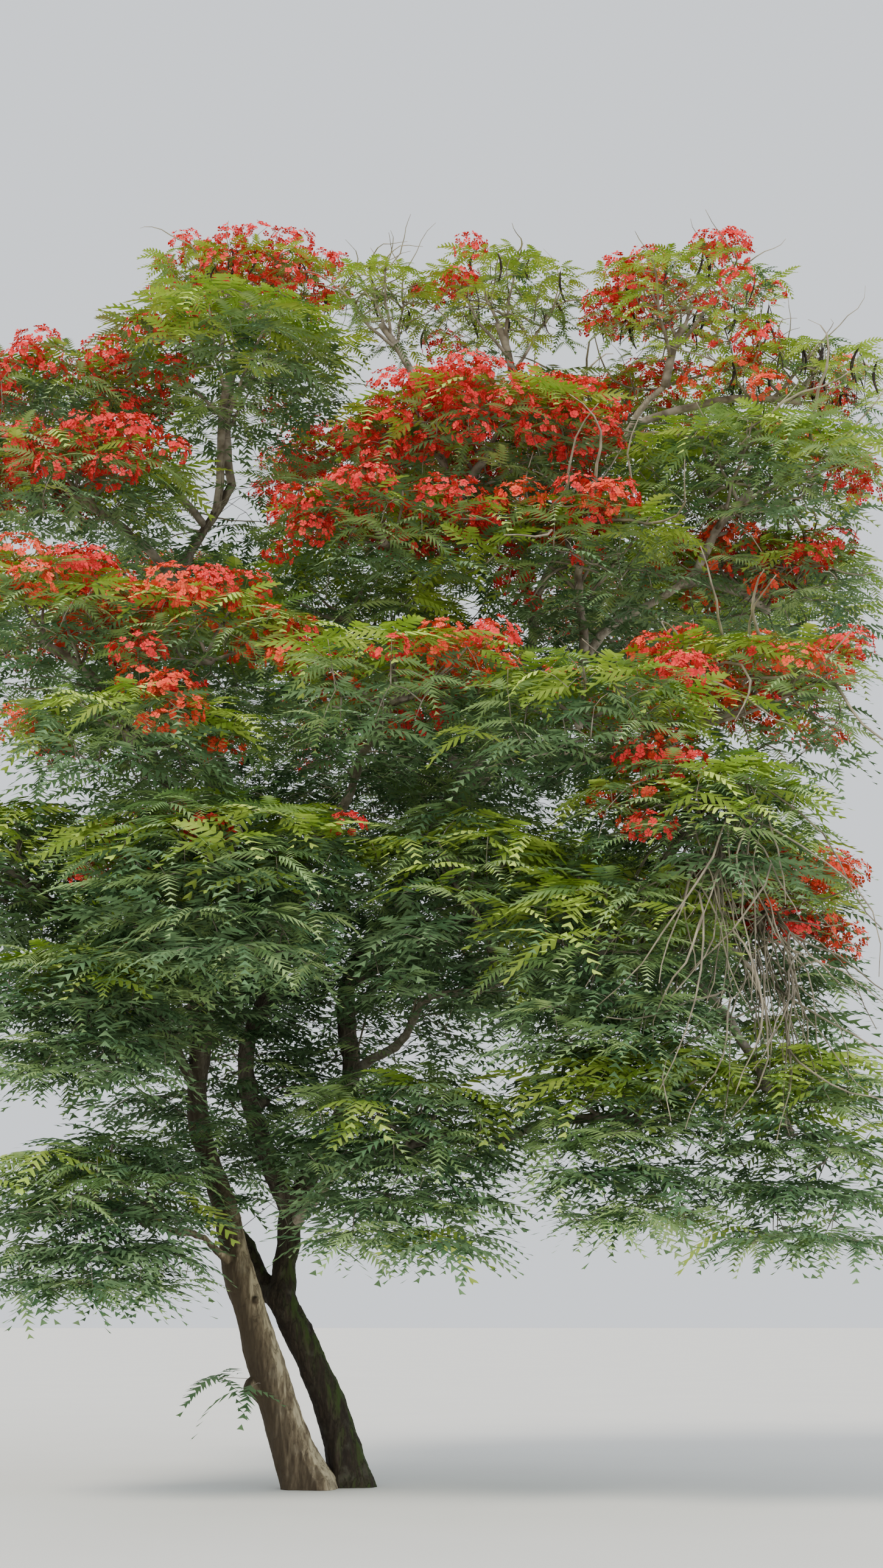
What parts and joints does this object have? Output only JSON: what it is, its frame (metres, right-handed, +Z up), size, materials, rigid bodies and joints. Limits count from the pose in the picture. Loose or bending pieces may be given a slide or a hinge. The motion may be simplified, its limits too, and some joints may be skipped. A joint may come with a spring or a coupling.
{
  "type": "flame tree",
  "caption": "Tall flowering shade tree: leaning stems from one root fork into long winding boughs that carry wide, flat tiers of feathery leaves, red blossom and hanging pods.",
  "frame": {"origin": "middle of the flat cut at ground level under the pale stem, which is the main stem", "axes": "+Z up; +X to the right as the picture shows the tree; +Y away from the picture's viewer"},
  "size_m": [13.5882, 11.5781, 17.8495],
  "materials": {
    "bark_pale": "rough tan-grey bark with cream streaks and fine upright ridges",
    "bark_dark": "rough dark brown bark, green with moss on one side",
    "bark_upper": "smoother grey-brown bark of the leaders and boughs, ringed and pocked",
    "twig": "dull grey-brown twig bark",
    "foliage": "matte feathery leaves, yellow-green in the light and dark green inside",
    "blossom": "soft scarlet to orange petals",
    "pod": "dull dark brown woody pods"
  },
  "bodies": {
    "root": {"bough_back_left": "bark_upper", "bough_back_right": "bark_upper", "bough_centre": "bark_upper", "bough_centre_low": "bark_upper", "bough_crown": "bark_upper", "bough_foot_left": "bark_upper", "bough_foot_right": "bark_upper", "bough_front": "bark_upper", "bough_left_front": "bark_upper", "bough_left_low": "bark_upper", "bough_right": "bark_upper", "bough_right_front": "bark_upper", "bough_right_low": "bark_upper", "bough_top": "bark_upper", "bough_top_right": "bark_upper", "fork_left": "bark_upper", "fork_right": "bark_upper", "leader_left": "bark_upper", "leader_middle": "bark_upper", "leader_right": "bark_upper", "stem_dark": "bark_dark", "stem_pale": "bark_pale", "tier_back_left": "foliage", "tier_back_low_left": "foliage", "tier_back_low_right": "foliage", "tier_back_middle": "foliage", "tier_back_right": "foliage", "tier_back_top": "foliage", "tier_bloom_dome": "foliage", "tier_bloom_skirt": "foliage", "tier_centre_front": "foliage", "tier_centre_heart": "foliage", "tier_centre_left_low": "foliage", "tier_centre_low": "foliage", "tier_centre_right_low": "foliage", "tier_crown_arch": "foliage", "tier_crown_middle": "foliage", "tier_crown_right": "foliage", "tier_foot_far_right": "foliage", "tier_foot_left": "foliage", "tier_foot_middle": "foliage", "tier_foot_right": "foliage", "tier_left_dome": "foliage", "tier_left_fore": "foliage", "tier_left_front": "foliage", "tier_left_low": "foliage", "tier_left_lower": "foliage", "tier_left_shelf": "foliage", "tier_left_shoulder": "foliage", "tier_left_skirt": "foliage", "tier_middle_top": "foliage", "tier_right_bloom": "foliage", "tier_right_front": "foliage", "tier_right_heart": "foliage", "tier_right_low": "foliage", "tier_right_middle": "foliage", "tier_right_reach": "foliage", "tier_right_side": "foliage", "tier_right_slope": "foliage", "tier_right_tangle": "foliage"}
  },
  "joints": []
}
